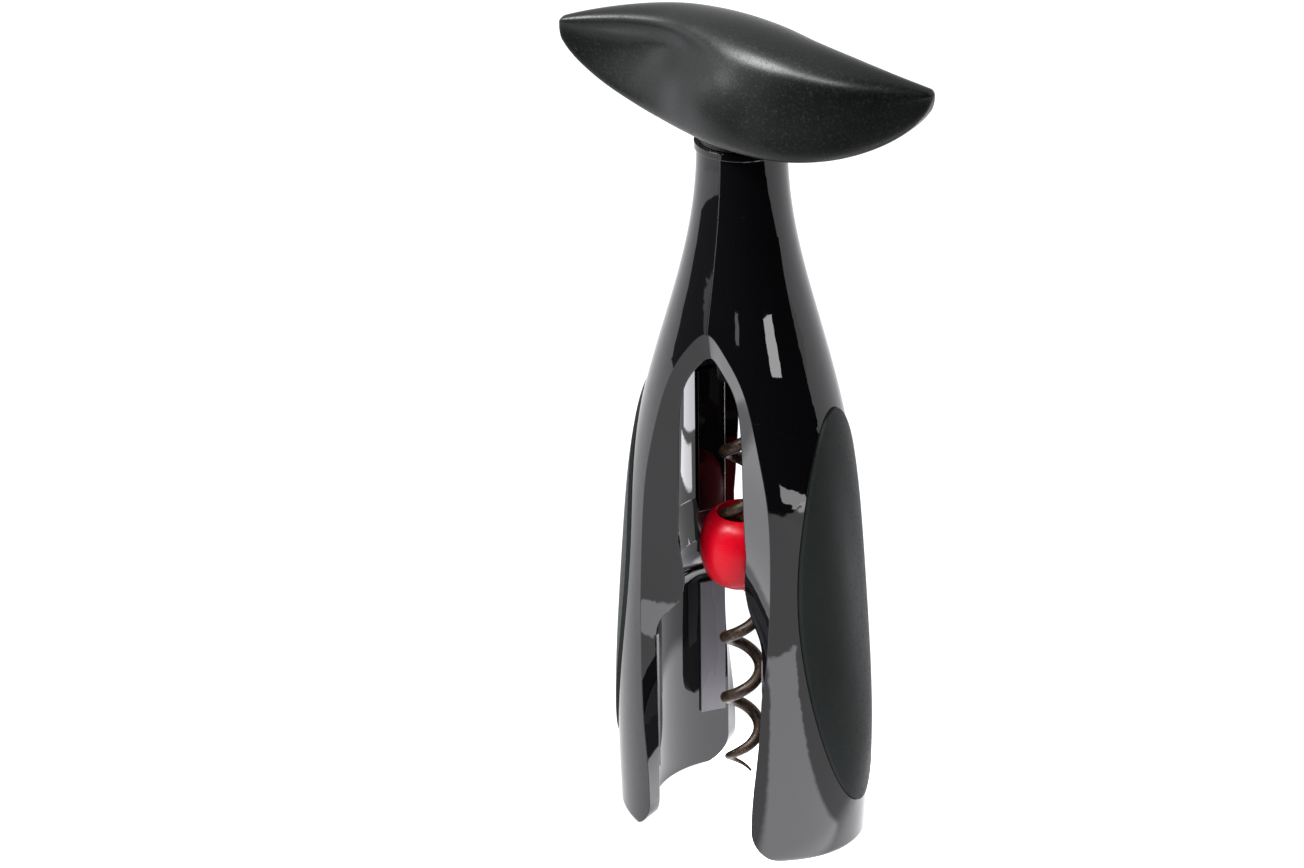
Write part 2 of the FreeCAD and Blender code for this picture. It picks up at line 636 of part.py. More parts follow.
core_blank = fused("core_blank", [hub_blank, core_bar])
spigot_room = doc.addObject("Part::Cylinder", "spigot_room")
spigot_room.setExpression("Radius", "Sizes.spigot_radius + Sizes.fit_gap")
spigot_room.setExpression("Height", "Sizes.stem_in_handle + Sizes.fit_gap + 1")
spigot_room.Placement = Placement(Vector(0, 0, hub_bottom - 1), Rotation())


def cross_pin(label, radius, half_length):
    """Cylinder along X at the height of the cross pin, sizes as expressions."""
    made = doc.addObject("Part::Cylinder", label)
    made.Label = label
    made.setExpression("Radius", sheet_terms(radius))
    made.setExpression("Height", f"2 * ({sheet_terms(half_length)})")
    made.Placement = Placement(Vector(-value_of(half_length), 0, hub_bottom + size("pin_rise")),
                               Rotation(Vector(0, 1, 0), 90))
    return made


pin_room = cross_pin("pin_room", "pin_radius + fit_gap", "pin_half_length + fit_gap")
cross_pin("handle_pin", "pin_radius", "pin_half_length")
core_room = fused("core_room", [spigot_room, pin_room])
cut("handle_core", core_blank, core_room)
cut("handle_skin", handle_form, core_blank)
cut("hub_stem", hub_stem_blank, pin_room)

# Worm: one wire, a right-handed helix that comes in to the axis at its top
pitch = size("worm_pitch")
coil = size("worm_radius")
wire = size("wire_radius")
start_angle = math.radians(size("worm_start_angle"))


def nip_left(quarters):
    """1 at the point of the worm, 0 where its turns have their full width."""
    return max(0.0, 1 - quarters / size("worm_nip_quarters"))


def helix_point(quarters):
    """Point on the centre line, counted in quarter turns from the point of the worm."""
    angle = start_angle + quarters * math.pi / 2
    z = size("worm_point_z") + quarters * pitch / 4
    radius = coil * (1 - size("worm_nip") * nip_left(quarters) ** 2)
    return Vector(radius * math.cos(angle), radius * math.sin(angle), z)


def helix_heading(quarters):
    """Direction of the wire at the same place, upward."""
    angle = start_angle + quarters * math.pi / 2
    radius = coil * (1 - size("worm_nip") * nip_left(quarters) ** 2)
    widening = 4 * coil * size("worm_nip") * nip_left(quarters) / size("worm_nip_quarters")
    widening /= math.pi
    turn = Vector(widening * math.cos(angle) - radius * math.sin(angle),
                  widening * math.sin(angle) + radius * math.cos(angle), pitch / (2 * math.pi))
    return turn.normalize()


def arc_from(start, heading, end):
    """Arc that leaves a point in one direction and ends at another point, and its radius."""
    chord = end - start
    half = chord.Length / 2
    along = chord / chord.Length
    across = heading - along * heading.dot(along)
    turn = math.atan2(across.Length, heading.dot(along))
    across.normalize()
    middle = (start + end) / 2 + across * half * math.tan(turn / 2)
    return Part.Arc(start, middle, end).toShape(), half / math.sin(turn)


def joined_arcs(start, heading, end, end_heading):
    """Two arcs that join two points and directions without a corner."""
    gap = end - start
    both = heading + end_heading
    spread = 2 * (1 - heading.dot(end_heading))
    reach_out = (math.sqrt(gap.dot(both) ** 2 + spread * gap.dot(gap)) - gap.dot(both)) / spread
    joint = (start + heading * reach_out + end - end_heading * reach_out) / 2
    first, first_radius = arc_from(start, heading, joint)
    last, last_radius = arc_from(end, -end_heading, joint)
    return [first, last], [first_radius, last_radius]


def helix_arcs(first, last):
    """Arcs along the helix between two counts of quarter turns."""
    arcs = []
    radii = []
    for quarter in range(first, last):
        pair, pair_radii = joined_arcs(helix_point(quarter), helix_heading(quarter),
                                       helix_point(quarter + 1), helix_heading(quarter + 1))
        arcs += pair
        radii += pair_radii
    return arcs, radii


def section_at(point, heading, radius):
    """Circle of the wire, square to its direction."""
    return Part.Wire([Part.makeCircle(radius, point, heading)])


def tube(edges, sections):
    """Solid tube along joined arcs through its sections."""
    shell = Part.BRepOffsetAPI.MakePipeShell(Part.Wire(edges))
    for section in sections:
        shell.add(section)
    shell.build()
    shell.makeSolid()
    return shell.shape()


quarters = int(round(size("worm_quarter_turns")))
taper_end = int(round(size("worm_taper_quarters")))
turn_arcs, turn_radii = helix_arcs(taper_end, quarters)
run_in_end = helix_point(quarters)
run_in_end = Vector(0, 0, run_in_end.z + size("worm_run_in"))
run_in, run_in_radii = joined_arcs(helix_point(quarters), helix_heading(quarters), run_in_end,
                                   Vector(0, 0, 1))
shank_end = Vector(0, 0, size("stem_bottom") + size("shank_depth"))
shank = Part.makeLine(run_in_end, shank_end)
tightest = min(turn_radii + run_in_radii)
print(f"tightest arc of the worm {tightest:.2f} mm, wire radius {wire:.2f} mm")
full_wire = section_at(helix_point(taper_end), helix_heading(taper_end), wire)
turns = tube(turn_arcs + run_in + [shank], [full_wire])
point_arcs, _ = helix_arcs(0, taper_end)
point = tube(point_arcs, [
    section_at(helix_point(0), helix_heading(0), size("worm_point_radius")), full_wire])
feature("worm", turns.fuse(point))


def least_self_gap():
    """Least distance between the surfaces of two turns, measured on points of the wire."""
    steps = 16
    points = [helix_point(i / steps) for i in range(quarters * steps + 1)]
    gap = min((a - b).Length for i, a in enumerate(points) for b in points[i + 2 * steps:])
    return gap - 2 * wire


print(f"least gap between turns of the worm {least_self_gap():.2f} mm")


# Ball: a full, slightly square ball, threaded on the worm, with a round mouth on top
def ball_profile():
    """Half section of the ball as one face."""
    full = size("ball_radius")
    corner = size("ball_corner")
    small = size("ball_corner_radius")
    rest = full - small
    shift = (2 * corner ** 2 - rest ** 2) / (2 * (rest - corner))
    large = full + shift
    lean = math.atan2(corner, corner + shift)
    flat = large * math.cos(lean) - shift
    high = large * math.sin(lean)
    diagonal = corner + small * math.sqrt(0.5)
    centre_z = size("ball_centre_z")

    def at(radius, z):
        return Vector(radius, 0, centre_z + z)

    def half(way):
        """Arcs of the upper or lower half, from the equator to the pole."""
        side_mid = (large * math.cos(lean / 2) - shift, large * math.sin(lean / 2))
        return [
            Part.Arc(at(full, 0), at(side_mid[0], way * side_mid[1]), at(flat, way * high)),
            Part.Arc(at(flat, way * high), at(diagonal, way * diagonal), at(high, way * flat)),
            Part.Arc(at(high, way * flat), at(side_mid[1], way * side_mid[0]), at(0, way * full)),
        ]

    arcs = [arc.toShape() for arc in half(1) + half(-1)]
    arcs.append(Part.makeLine(at(0, -full), at(0, full)))
    return Part.Face(Part.Wire(Part.__sortEdges__(arcs)))


def quarter_at(z):
    """Quarter turns from the point of the worm up to one height."""
    return (z - size("worm_point_z")) / (pitch / 4)


ball = ball_profile().revolve(Vector(), Vector(0, 0, 1), 360)
ball_low = size("ball_centre_z") - size("ball_radius")
mouth_bottom = size("ball_centre_z") + size("ball_radius") - size("ball_mouth_depth")
mouth = Part.makeCylinder(size("ball_mouth_radius"), 2 * size("ball_radius"),
                          Vector(0, 0, mouth_bottom))
tunnel_first = math.floor(quarter_at(ball_low - wire)) - 1
tunnel_last = math.ceil(quarter_at(mouth_bottom)) + 1
tunnel_arcs, _ = helix_arcs(tunnel_first, tunnel_last)
tunnel_wire = section_at(helix_point(tunnel_first), helix_heading(tunnel_first),
                         wire + size("tunnel_gap"))
feature("ball", ball.cut(mouth).cut(tube(tunnel_arcs, [tunnel_wire])))

PIECES = ["housing_half_right", "housing_half_left", "side_grip_right", "side_grip_left"]
PIECES += [f"wall_{kind}_{side}" for kind in ("bar", "panel") for side in PLATE_SIDES]
PIECES += ["neck_bush", "neck_ring", "lift_collar", "hub_stem", "snap_ring", "handle_pin",
           "handle_core", "handle_skin", "worm", "ball"]

doc.recompute()
for made in doc.Objects:
    if "Invalid" in made.State or "Error" in made.State:
        raise RuntimeError(f"{made.Label} failed: {made.State}")
shapes = {name: doc.getObjectsByLabel(name)[0].Shape for name in PIECES}
for name, shape in shapes.items():
    if shape.isNull() or not shape.isValid() or len(shape.Solids) != 1:
        raise RuntimeError(f"{name} is not one valid solid")
os.makedirs("parts", exist_ok=True)
for name, shape in shapes.items():
    shape.exportStep(f"parts/{name}.step")
    box = shape.BoundBox
    print(f"{name}: {shape.Volume:.0f} mm3, z {box.ZMin:.2f} to {box.ZMax:.2f}")
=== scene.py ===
"""Tabletop corkscrew in its studio: finishes, fine surface detail, light and camera."""

import json
import logging
import math
from dataclasses import dataclass, field
from enum import Enum

import bpy
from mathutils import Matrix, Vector

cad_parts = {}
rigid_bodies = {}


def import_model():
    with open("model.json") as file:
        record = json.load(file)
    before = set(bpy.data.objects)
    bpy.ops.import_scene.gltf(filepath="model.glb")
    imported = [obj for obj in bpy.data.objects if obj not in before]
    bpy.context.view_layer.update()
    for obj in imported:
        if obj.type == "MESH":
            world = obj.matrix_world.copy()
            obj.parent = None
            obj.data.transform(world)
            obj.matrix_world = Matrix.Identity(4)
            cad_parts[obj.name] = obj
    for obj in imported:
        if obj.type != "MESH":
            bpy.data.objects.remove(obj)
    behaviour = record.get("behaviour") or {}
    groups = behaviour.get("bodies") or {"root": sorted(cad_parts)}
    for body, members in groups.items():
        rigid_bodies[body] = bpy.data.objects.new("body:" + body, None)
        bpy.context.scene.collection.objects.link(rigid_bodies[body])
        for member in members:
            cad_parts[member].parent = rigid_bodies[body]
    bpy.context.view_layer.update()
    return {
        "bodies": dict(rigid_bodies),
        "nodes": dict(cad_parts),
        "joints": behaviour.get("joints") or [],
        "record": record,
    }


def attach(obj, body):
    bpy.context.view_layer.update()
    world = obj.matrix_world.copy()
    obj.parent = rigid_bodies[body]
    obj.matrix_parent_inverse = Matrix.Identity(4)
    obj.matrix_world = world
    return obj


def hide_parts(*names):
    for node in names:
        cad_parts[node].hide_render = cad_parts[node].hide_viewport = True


LOG = logging.getLogger("corkscrew")
PHOTO_WIDTH = 1304
PHOTO_AZIMUTH = 30.2
FELT_TONE = 0.0005
EDGE_SAMPLES = 6
MM = 0.001

Colour = tuple[float, float, float]
Span = tuple[float, float]
Socket = bpy.types.NodeSocket
Input = Socket | Vector | Colour | float


def towards(azimuth: float, elevation: float) -> Vector:
    """Direction from the object, turned from the front and lifted from the table.

    Args:
        azimuth: Turn to the right from the front, in degrees.
        elevation: Lift above the table, in degrees.

    Returns:
        The unit direction.
    """
    turn, lift = math.radians(azimuth), math.radians(elevation)
    return Vector((math.sin(turn) * math.cos(lift), -math.cos(turn) * math.cos(lift),
                   math.sin(lift)))


class Sum(Enum):
    """Sums that a node can do, each with its node and operation."""

    PRODUCT = ("ShaderNodeMath", "MULTIPLY")
    SHARE = ("ShaderNodeMath", "MULTIPLY_ADD")
    SIZE = ("ShaderNodeMath", "ABSOLUTE")
    ALONG = ("ShaderNodeVectorMath", "DOT_PRODUCT")
    APART = ("ShaderNodeVectorMath", "DISTANCE")


class Wall(Enum):
    """Inner walls of the bell that carry a bar and a panel."""

    RIGHT_REAR = "right_rear"
    LEFT_REAR = "left_rear"
    LEFT_FRONT = "left_front"
    RIGHT_FRONT = "right_front"

    def piece(self, stem: str) -> str:
        """Name of the piece on this wall."""
        return f"{stem}_{self.value}"


@dataclass(frozen=True)
class Pattern:
    """Soft random pattern, stretched along the axes where it has a stretch."""

    per_metre: float
    detail: float = 2.0
    roughness: float = 0.5
    stretch: Colour | None = None


class NodeBench:
    """Workbench for one node-based material."""

    def __init__(self, name: str) -> None:
        """Make an empty material with a Principled surface.

        Args:
            name: Name of the material.
        """
        self.material = bpy.data.materials.new(name)
        self.material.use_nodes = True
        self.tree = self.material.node_tree
        self.tree.nodes.clear()
        self.surface = self.node("ShaderNodeBsdfPrincipled")
        self.node("ShaderNodeOutputMaterial", Surface=self.surface.outputs["BSDF"])

    def feed(self, socket: Socket, value: Input) -> None:
        """Join a socket to another one, or set it to a constant.

        Args:
            socket: Input to feed.
            value: Output socket, or the constant.
        """
        if isinstance(value, Socket):
            self.tree.links.new(value, socket)
        else:
            socket.default_value = (*value, 1.0) if socket.type == "RGBA" else value

    def fill(self, node: bpy.types.Node, inputs: dict[str, Input]) -> None:
        """Feed inputs of a node by name.

        Args:
            node: The node.
            inputs: Values by the name of the input, with underscores for spaces.
        """
        for name, value in inputs.items():
            self.feed(node.inputs[name.replace("_", " ")], value)

    def node(self, kind: str, **inputs: Input) -> bpy.types.Node:
        """Make a node.

        Args:
            kind: Type of the node.
            **inputs: Values by the name of the input.

        Returns:
            The node.
        """
        node = self.tree.nodes.new(kind)
        self.fill(node, inputs)
        return node

    def sum(self, what: Sum, *terms: Input) -> Socket:
        """Value worked out from others.

        Args:
            what: Which sum.
            *terms: What goes into it, in the order of the node's inputs.

        Returns:
            The value.
        """
        kind, operation = what.value
        node = self.tree.nodes.new(kind)
        node.operation = operation
        for socket, term in zip(node.inputs, terms):
            self.feed(socket, term)
        return node.outputs["Value"]

    def plus(self, first: Socket, second: Socket, share: float) -> Socket:
        """First value plus a share of the second."""
        return self.sum(Sum.SHARE, second, share, first)

    def coordinates(self) -> Socket:
        """Coordinates in the object's own space, in metres."""
        return self.tree.nodes.new("ShaderNodeTexCoord").outputs["Object"]

    def noise(self, pattern: Pattern) -> Socket:
        """Value of a soft random pattern.

        Args:
            pattern: The pattern.

        Returns:
            The value, mostly between 0.3 and 0.7.
        """
        where = self.coordinates()
        if pattern.stretch:
            where = self.node("ShaderNodeMapping", Vector=where,
                              Scale=pattern.stretch).outputs["Vector"]
        return self.node("ShaderNodeTexNoise", Vector=where, Scale=pattern.per_metre,
                         Detail=pattern.detail, Roughness=pattern.roughness).outputs["Fac"]

    def ranged(self, value: Socket, old: Span, new: Span) -> Socket:
        """Value moved smoothly from one range to another, clamped.

        Args:
            value: The value.
            old: Start and end of the old range.
            new: Start and end of the new range.

        Returns:
            The new value.
        """
        node = self.node("ShaderNodeMapRange", Value=value, From_Min=old[0], From_Max=old[1],
                         To_Min=new[0], To_Max=new[1])
        node.interpolation_type = "SMOOTHSTEP"
        return node.outputs["Result"]

    def rise(self, value: Socket, start: float, end: float) -> Socket:
        """Zero up to the start and one from the end."""
        return self.ranged(value, (start, end), (0.0, 1.0))

    def fall(self, value: Socket, start: float, end: float) -> Socket:
        """One up to the start and zero from the end."""
        return self.ranged(value, (start, end), (1.0, 0.0))

    def along(self, direction: Vector) -> Socket:
        """Object coordinates measured along a unit direction, in metres."""
        return self.sum(Sum.ALONG, self.coordinates(), direction)

    def beside_plane(self, normal: Vector, half: float) -> Socket:
        """Zero on the middle plane square to the normal, and one beyond half a width."""
        return self.rise(self.sum(Sum.SIZE, self.along(normal)), 0.0, half)

    def inside(self, low_side: Vector, high_side: Vector, span: Span, edge: float) -> Socket:
        """One between two sides and zero beyond them.

        Args:
            low_side: Unit direction along which the low side is measured.
            high_side: Unit direction along which the high side is measured.
            span: Distances of the two sides, in metres.
            edge: Width of the soft edges.

        Returns:
            The value from zero to one.
        """
        low, high = span
        return self.sum(Sum.PRODUCT, self.rise(self.along(low_side), low - edge, low),
                        self.fall(self.along(high_side), high, high + edge))

    def colour(self, value: Socket, dark: Colour, light: Colour, span: Span) -> Socket:
        """Colour between two tones by a value.

        Args:
            value: The value.
            dark: Colour at the low end.
            light: Colour at the high end.
            span: Values that give the dark and the light colour.

        Returns:
            The colour.
        """
        ramp = self.node("ShaderNodeValToRGB", Fac=value)
        for element, place, tone in zip(ramp.color_ramp.elements, span, (dark, light)):
            element.position = place
            element.color = (*tone, 1.0)
        return ramp.outputs["Color"]

    def relief(self, height: Socket, depth: float, under: Socket | None = None) -> Socket:
        """Bump from a height pattern.

        Args:
            height: Height from zero to one.
            depth: Depth of the relief in metres.
            under: Normal of a coarser relief under this one.

        Returns:
            The bumped normal.
        """
        bump = self.node("ShaderNodeBump", Strength=1.0, Distance=depth, Height=height)
        if under is not None:
            self.feed(bump.inputs["Normal"], under)
        return bump.outputs["Normal"]

    def soft_edges(self, radius: float) -> Socket:
        """Normal that rounds sharp edges.

        Args:
            radius: Radius of the edges in metres.

        Returns:
            The rounded normal.
        """
        bevel = self.node("ShaderNodeBevel", Radius=radius)
        bevel.samples = EDGE_SAMPLES
        return bevel.outputs["Normal"]


class Finish:
    """Finish that a bench turns into a material."""

    def inputs(self, bench: NodeBench) -> dict[str, Input]:
        """Inputs of the surface, which each finish gives in its own way.

        Args:
            bench: Bench of the material.

        Returns:
            Values by the name of the input.
        """
        raise NotImplementedError

    def material(self, name: str) -> bpy.types.Material:
        """Build the material.

        Args:
            name: Name of the material.

        Returns:
            The material.
        """
        bench = NodeBench(name)
        bench.fill(bench.surface, self.inputs(bench))
        return bench.material


@dataclass(frozen=True)
class GlossBlack(Finish):
    """High-gloss black plastic, with a faint parting line where the halves meet."""

    base: Colour = (0.0025, 0.0025, 0.003)
    ior: float = 1.5
    roughness: float = 0.02
    haze: float = 0.03
    smudge: Pattern = Pattern(45.0, 3.0, 0.6)
    smudged: Span = (0.45, 0.8)
    ripple: Pattern = Pattern(420.0, 1.0)
    peel: float = 0.004 * MM
    seam_across: Colour = (1.0, 0.0, 0.0)
    seam_half: float = 0.10 * MM
    seam_depth: float = 0.05 * MM
    edge: float = 0.25 * MM

    def inputs(self, bench: NodeBench) -> dict[str, Input]:
        """Inputs of the surface.

        Args:
            bench: Bench of the material.

        Returns:
            Values by the name of the input.
        """
        peel = bench.relief(bench.noise(self.ripple), self.peel, bench.soft_edges(self.edge))
        seam = bench.beside_plane(Vector(self.seam_across), self.seam_half)
        return {
            "Base_Color": self.base,
            "IOR": self.ior,
            "Roughness": bench.ranged(bench.noise(self.smudge), self.smudged,
                                      (self.roughness, self.roughness + self.haze)),
            "Normal": bench.relief(seam, self.seam_depth, peel),
        }


@dataclass(frozen=True)
class SoftTouch(Finish):
    """Matt soft-touch coating with a fine sanded grain."""

    base: Colour
    light: Colour
    specular: float
    ior: float = 1.45
    roughness: float = 0.44
    haze: float = 0.06
    speckle: float = 0.26
    grain: float = 0.007 * MM
    swell_share: float = 0.4
    cloud: Pattern = Pattern(38.0, 4.0, 0.6)
    clouded: Span = (0.3, 0.8)
    speck: Pattern = Pattern(1900.0, 2.0, 0.7)
    specked: Span = (0.54, 0.70)
    swell: Pattern = Pattern(900.0, 2.0)
    speck_share: float = 0.6
    toned: Span = (0.55, 1.0)

    def inputs(self, bench: NodeBench) -> dict[str, Input]:
        """Inputs of the surface.

        Args:
            bench: Bench of the material.

        Returns:
            Values by the name of the input.
        """
        cloud, speck = bench.noise(self.cloud), bench.noise(self.speck)
        smooth = bench.ranged(cloud, self.clouded, (self.roughness, self.roughness + self.haze))
        swell = bench.relief(bench.noise(self.swell), self.grain * self.swell_share)
        return {
            "Base_Color": bench.colour(bench.plus(cloud, speck, self.speck_share),
                                       self.base, self.light, self.toned),
            "IOR": self.ior,
            "Specular_IOR_Level": self.specular,
            "Roughness": bench.plus(smooth, bench.rise(speck, *self.specked), self.speckle),
            "Normal": bench.relief(speck, self.grain, swell),
        }


@dataclass(frozen=True)
class SatinMould(Finish):
    """Plain satin moulded plastic of the inner fittings."""

    base: Colour
    light: Colour
    ior: float = 1.48
    roughness: float = 0.32
    haze: float = 0.1
    flow: Pattern = Pattern(70.0, 3.0, 0.55, (1.0, 1.0, 0.25))
    flowed: Span = (0.3, 0.7)
    pitting: Pattern = Pattern(1500.0)
    grain: float = 0.01 * MM
    edge: float = 0.12 * MM

    def inputs(self, bench: NodeBench) -> dict[str, Input]:
        """Inputs of the surface.

        Args:
            bench: Bench of the material.

        Returns:
            Values by the name of the input.
        """
        flow = bench.noise(self.flow)
        return {
            "Base_Color": bench.colour(flow, self.base, self.light, self.flowed),
            "IOR": self.ior,
            "Roughness": bench.ranged(flow, self.flowed,
                                      (self.roughness, self.roughness + self.haze)),
            "Normal": bench.relief(bench.noise(self.pitting), self.grain,
                                   bench.soft_edges(self.edge)),
        }


@dataclass(frozen=True)
class BrightSteel(Finish):
    """Drawn steel of the pin and the snap ring."""

    base: Colour = (0.52, 0.52, 0.53)
    roughness: Span = (0.2, 0.38)
    lines: Pattern = Pattern(2500.0, 2.0, 0.6, (1.0, 1.0, 0.05))
    lined: Span = (0.3, 0.7)
    depth: float = 0.004 * MM

    def inputs(self, bench: NodeBench) -> dict[str, Input]:
        """Inputs of the surface.

        Args:
            bench: Bench of the material.

        Returns:
            Values by the name of the input.
        """
        lines = bench.noise(self.lines)
        return {
            "Base_Color": self.base,
            "Metallic": 1.0,
            "Roughness": bench.ranged(lines, self.lined, self.roughness),
            "Normal": bench.relief(lines, self.depth),
        }


@dataclass(frozen=True)
class BronzeCoat(Finish):
    """Dark non-stick coating of the worm, mottled and a little worn."""

    dark: Colour = (0.008, 0.005, 0.004)
    warm: Colour = (0.050, 0.027, 0.015)
    pale: Colour = (0.46, 0.31, 0.19)
    ior: float = 1.5
    metallic: float = 0.35
    roughness: float = 0.36
    haze: float = 0.2
    cloud: Pattern = Pattern(520.0, 4.0, 0.65)
    clouded: Span = (0.3, 0.75)
    speck: Pattern = Pattern(2300.0, 3.0, 0.7)
    speck_share: float = 0.7
    toned: Span = (0.62, 1.0)
    worn_from: Span = (0.62, 0.74)
    wear: float = 0.75
    depth: float = 0.02 * MM

    def inputs(self, bench: NodeBench) -> dict[str, Input]:
        """Inputs of the surface.

        Args:
            bench: Bench of the material.

        Returns:
            Values by the name of the input.
        """
        cloud, speck = bench.noise(self.cloud), bench.noise(self.speck)
        mottle = bench.plus(cloud, speck, self.speck_share)
        coat = bench.node("ShaderNodeMixRGB", Color2=self.pale,
                          Fac=bench.ranged(speck, self.worn_from, (0.0, self.wear)),
                          Color1=bench.colour(mottle, self.dark, self.warm, self.toned))
        return {
            "Base_Color": coat.outputs["Color"],
            "IOR": self.ior,
            "Metallic": self.metallic,
            "Roughness": bench.ranged(cloud, self.clouded,
                                      (self.roughness, self.roughness + self.haze)),
            "Normal": bench.relief(mottle, self.depth),
        }


@dataclass(frozen=True)
class SatinRed(Finish):
    """Satin red plastic of the ball, with a faint moulding line."""

    base: Colour = (0.42, 0.0005, 0.008)
    light: Colour = (0.50, 0.0010, 0.012)
    ior: float = 1.49
    specular: float = 0.22
    bleed: float = 0.08
    bleed_reach: Colour = (4.0 * MM, 1.0 * MM, 1.0 * MM)
    roughness: float = 0.27
    haze: float = 0.14
    cloud: Pattern = Pattern(90.0, 3.0, 0.6)
    rub: Pattern = Pattern(900.0, 4.0, 0.65, (1.0, 1.0, 3.0))
    rubbed: Span = (0.35, 0.75)
    rub_share: float = 0.4
    rub_depth: float = 0.008 * MM
    toned: Span = (0.4, 0.95)
    edge: float = 0.3 * MM
    line_across: Colour = (0.0, 1.0, 0.0)
    line_half: float = 0.08 * MM
    line_depth: float = 0.02 * MM

    def inputs(self, bench: NodeBench) -> dict[str, Input]:
        """Inputs of the surface.

        Args:
            bench: Bench of the material.

        Returns:
            Values by the name of the input.
        """
        cloud, rub = bench.noise(self.cloud), bench.noise(self.rub)
        skin = bench.relief(rub, self.rub_depth, bench.soft_edges(self.edge))
        line = bench.beside_plane(Vector(self.line_across), self.line_half)
        return {
            "Base_Color": bench.colour(bench.plus(cloud, rub, self.rub_share),
                                       self.base, self.light, self.toned),
            "IOR": self.ior,
            "Specular_IOR_Level": self.specular,
            "Subsurface_Weight": self.bleed,
            "Subsurface_Radius": self.bleed_reach,
            "Roughness": bench.ranged(rub, self.rubbed,
                                      (self.roughness, self.roughness + self.haze)),
            "Normal": bench.relief(line, self.line_depth, skin),
        }


@dataclass(frozen=True)
class PaintedPool:
    """Round pool of light painted on the table as extra glow; the edge is a share of its radius.
    """

    x: float
    y: float
    radius: float
    radiance: float
    edge: float = 0.3

    def area(self, bench: NodeBench) -> Socket:
        """Value that is one inside the area and zero outside it."""
        apart = bench.sum(Sum.APART, bench.coordinates(), (self.x, self.y, 0.0))
        return bench.fall(apart, self.radius * (1.0 - self.edge), self.radius)


@dataclass(frozen=True)
class PaintedStrip:
    """Four-sided pool of light painted on the table as extra glow, placed by its distances ahead
    of the object and aside of it. The splay turns its right side outward, in degrees."""

    ahead: Span
    aside: Span
    radiance: float
    splay: float = 0.0
    edge: float = 3.0 * MM

    def area(self, bench: NodeBench) -> Socket:
        """Where the area is.

        Args:
            bench: Bench of the table's material.

        Returns:
            Value that is one inside the area and zero outside it.
        """
        front = towards(PHOTO_AZIMUTH, 0.0)
        left = towards(PHOTO_AZIMUTH + 90.0, 0.0)
        right = towards(PHOTO_AZIMUTH + 90.0 + self.splay, 0.0)
        return bench.sum(Sum.PRODUCT, bench.inside(front, front, self.ahead, self.edge),
                         bench.inside(left, right, self.aside, self.edge))


@dataclass(frozen=True)
class LightTable(Finish):
    """White table that glows evenly, with pools of light painted on it as extra glow."""

    painted_pools: tuple[PaintedPool | PaintedStrip, ...]
    base: Colour = (0.12, 0.12, 0.12)
    pale: Colour = (0.1182, 0.1182, 0.1182)
    tint: Colour = (0.97, 0.96, 1.0)
    radiance: float = 1.03
    flicker: float = 1.01
    roughness: float = 0.75
    specular: float = 0.2
    fibre: Pattern = Pattern(600.0)
    toned: Span = (0.3, 0.7)

    def inputs(self, bench: NodeBench) -> dict[str, Input]:
        """Inputs of the surface.

        Args:
            bench: Bench of the material.

        Returns:
            Values by the name of the input.
        """
        fibre = bench.noise(self.fibre)
        shine = bench.ranged(fibre, (0.0, 1.0), (self.radiance, self.radiance * self.flicker))
        # Painted pools of light: each adds its glow over the table's even glow where it lies.
        for lamp_or_painted_pool in self.painted_pools:
            shine = bench.plus(shine, lamp_or_painted_pool.area(bench), lamp_or_painted_pool.radiance)
        return {
            "Base_Color": bench.colour(fibre, self.pale, self.base, self.toned),
            "Roughness": self.roughness,
            "Specular_IOR_Level": self.specular,
            "Emission_Color": self.tint,
            "Emission_Strength": shine,
        }


@dataclass(frozen=True)
class Cloth(Finish):
    """Felt of the studio flags."""

    tone: float
    spread: Span = (0.9, 1.1)
    nap: Pattern = Pattern(900.0)
    toned: Span = (0.3, 0.7)

    def inputs(self, bench: NodeBench) -> dict[str, Input]:
        """Inputs of the surface.

        Args:
            bench: Bench of the material.

        Returns:
            Values by the name of the input.
        """
        dark, light = ((self.tone * share,) * 3 for share in self.spread)
        return {
            "Base_Color": bench.colour(bench.noise(self.nap), dark, light, self.toned),
            "Roughness": 1.0,
            "Specular_IOR_Level": 0.0,
        }


def dress(frame: dict, names: list[str], material: bpy.types.Material) -> None:
    """Give one finish to fixed pieces of the frame.

    Args:
        frame: The loaded frame.
        names: Names of the pieces.
        material: The finish.
    """
    for name in names:
        piece = frame["nodes"][name]
        piece.data.materials.clear()
        piece.data.materials.append(material)
        LOG.info("dressed %s in %s", name, material.name)


@dataclass
class Housing:
    """Two-legged bell with its grips and the plates on its inner walls."""

    gloss: GlossBlack = field(default_factory=GlossBlack)
    grip: SoftTouch = field(default_factory=lambda: SoftTouch(
        base=(0.006, 0.008, 0.0075), light=(0.012, 0.015, 0.014), specular=0.12))
    plate: GlossBlack = field(default_factory=lambda: GlossBlack(
        base=(0.004, 0.004, 0.0045), roughness=0.03, seam_depth=0.0))
    # Painted reflection: the panels' light lavender grey stands in for the bright floor mirrored
    # in them.
    panel: SatinMould = field(default_factory=lambda: SatinMould(
        base=(0.185, 0.178, 0.198), light=(0.215, 0.207, 0.228), roughness=0.24))

    def dress(self, frame: dict) -> None:
        """Finish the bell, the grips and the plates.

        Args:
            frame: The loaded frame.
        """
        shell = self.gloss.material("housing_gloss")
        dress(frame, ["housing_half_right", "housing_half_left", "neck_ring"], shell)
        dress(frame, ["side_grip_right", "side_grip_left"], self.grip.material("grip_soft_touch"))
        dress(frame, [wall.piece("wall_bar") for wall in Wall], self.plate.material("plate_gloss"))
        # The panels' grey is a painted reflection of the bright floor.
        dress(frame, [wall.piece("wall_panel") for wall in Wall],
              self.panel.material("panel_grey_painted_reflection"))


